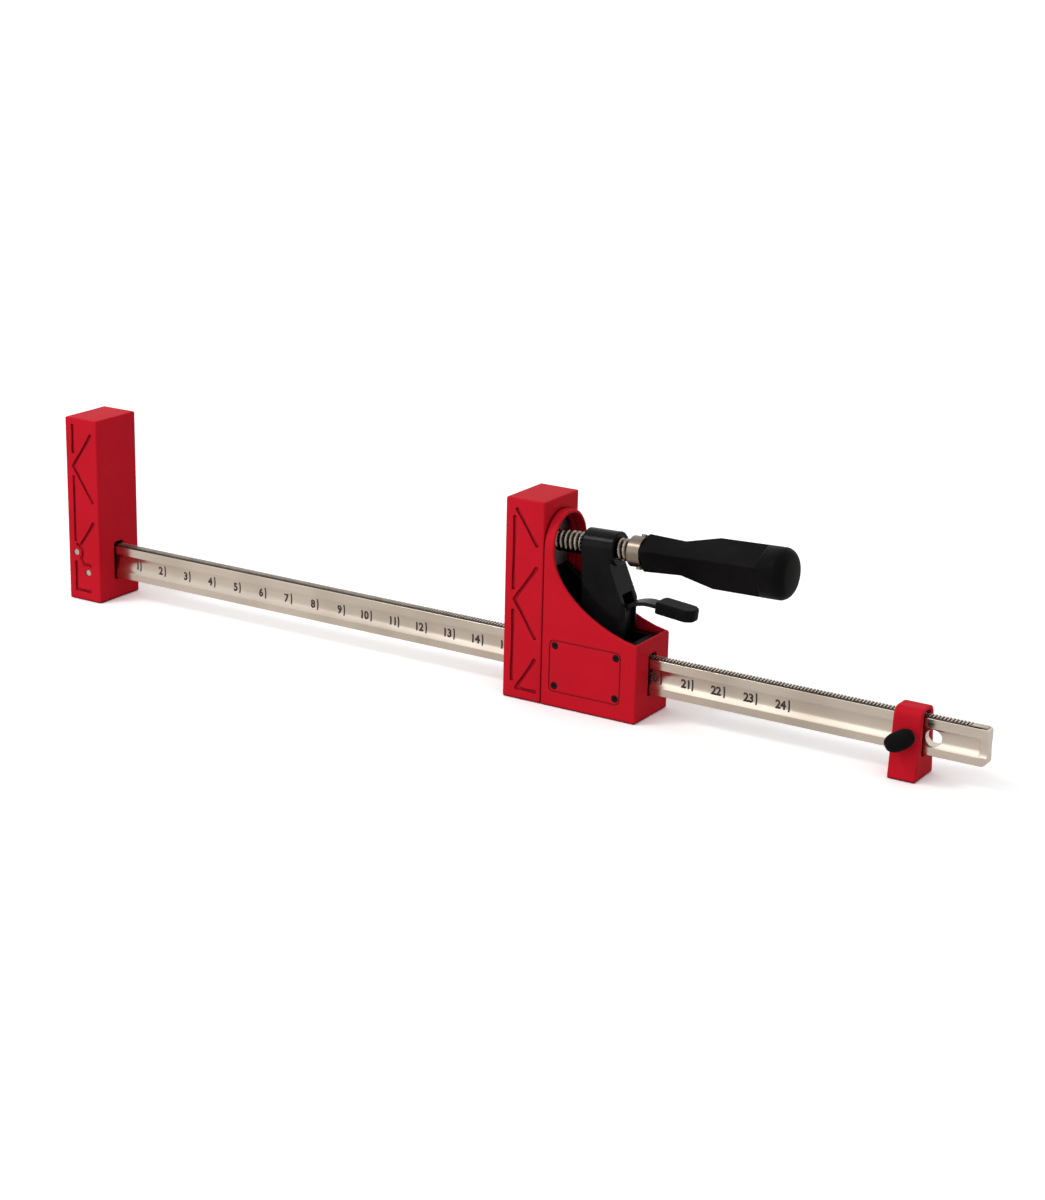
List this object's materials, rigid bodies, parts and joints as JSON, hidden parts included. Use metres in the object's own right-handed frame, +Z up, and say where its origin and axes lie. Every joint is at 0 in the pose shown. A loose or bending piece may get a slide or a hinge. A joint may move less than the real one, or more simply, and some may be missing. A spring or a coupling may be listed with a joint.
{
  "type": "parallel clamp",
  "caption": "Parallel clamp: ruled steel bar with a fixed jaw, a sliding screw-driven jaw with a casing, grip handle and release lever, and an end stop.",
  "frame": {"origin": "centre of the fixed jaw's underside, on the plane that the clamp stands on", "axes": "+X along the bar from the fixed jaw to the end stop, +Y away from the ruler side, +Z up from the undersides to the jaws' tops"},
  "size_m": [0.7894, 0.0507, 0.152],
  "materials": {
    "jaw_red": "satin",
    "bar_steel": "satin",
    "cast_black": "satin",
    "lever_black": "satin",
    "spindle_steel": "polished",
    "plate_steel": "satin",
    "handle_black": "matte",
    "insert_brass": "satin"
  },
  "bodies": {
    "bar": {"bar": "bar_steel", "fixed_jaw_core": "cast_black", "fixed_jaw_cover": "jaw_red", "fixed_jaw_pin_upper": "spindle_steel", "fixed_jaw_pin_lower": "spindle_steel"},
    "moving_jaw": {"moving_jaw_cover": "jaw_red", "moving_jaw_core": "cast_black", "thrust_plate": "plate_steel", "casing": "jaw_red", "glide_shoe_front": "plate_steel", "glide_shoe_back": "plate_steel", "casing_screw_1": "cast_black", "casing_screw_2": "cast_black", "casing_screw_3": "cast_black", "casing_screw_4": "cast_black", "casing_screw_5": "cast_black", "casing_screw_6": "cast_black", "casing_screw_7": "cast_black", "casing_screw_8": "cast_black"},
    "swivel": {"swivel_foot": "plate_steel"},
    "spindle": {"spindle": "spindle_steel", "ferrule": "spindle_steel", "handle_pin": "spindle_steel", "handle": "handle_black"},
    "arm": {"arm": "cast_black", "arm_bite_plate": "plate_steel", "trigger_pivot_pin": "spindle_steel", "trigger_spring": "spindle_steel"},
    "trigger": {"trigger_lever": "lever_black", "trigger_grip": "handle_black"},
    "end_stop": {"stop_block": "jaw_red", "stop_insert": "insert_brass"},
    "pad": {"stop_pad": "insert_brass"},
    "thumbscrew": {"thumbscrew_stud": "spindle_steel", "thumbscrew_knob": "handle_black"}
  },
  "joints": [
    {"name": "jaw_slide", "type": "slide", "parent": "bar", "child": "moving_jaw", "axis": [1, 0, 0], "range_m": [-0.3865, 0.1905]},
    {"name": "swivel_rock", "type": "hinge", "parent": "moving_jaw", "child": "swivel", "pos_m": [0.42375, 0, 0.1191], "axis": [0, -1, 0], "range_deg": [-1.75, 0]},
    {"name": "spindle_turn", "type": "hinge", "parent": "swivel", "child": "spindle", "pos_m": [0.42375, 0, 0.1191], "axis": [0.9995, 0, 0.0305], "range_deg": [-721, 1621]},
    {"name": "arm_feed", "type": "slide", "parent": "swivel", "child": "arm", "axis": [0.9995, 0, 0.0305], "range_m": [-0.018, 0.008]},
    {"name": "trigger_pull", "type": "hinge", "parent": "arm", "child": "trigger", "pos_m": [0.47367, 0, 0.057], "axis": [0, -1, 0], "range_deg": [0, 8], "stiffness_Nm_per_rad": 0.4, "springref_deg": -14.32, "deforming": ["trigger_spring"]},
    {"name": "stop_slide", "type": "slide", "parent": "bar", "child": "end_stop", "axis": [1, 0, 0], "range_m": [-0.1905, 0.042]},
    {"name": "stop_pad_feed", "type": "slide", "parent": "end_stop", "child": "pad", "axis": [0, -1, 0], "range_m": [0, 0.002]},
    {"name": "thumbscrew_turn", "type": "hinge", "parent": "pad", "child": "thumbscrew", "pos_m": [0.71735, 0, 0.0311], "axis": [0, -1, 0], "range_deg": [0, 721]}
  ],
  "couplings": [
    {"joint": "spindle_turn", "follows": "arm_feed", "rad_per_m": -1570.8},
    {"joint": "thumbscrew_turn", "follows": "stop_pad_feed", "rad_per_m": 6283.2}
  ]
}
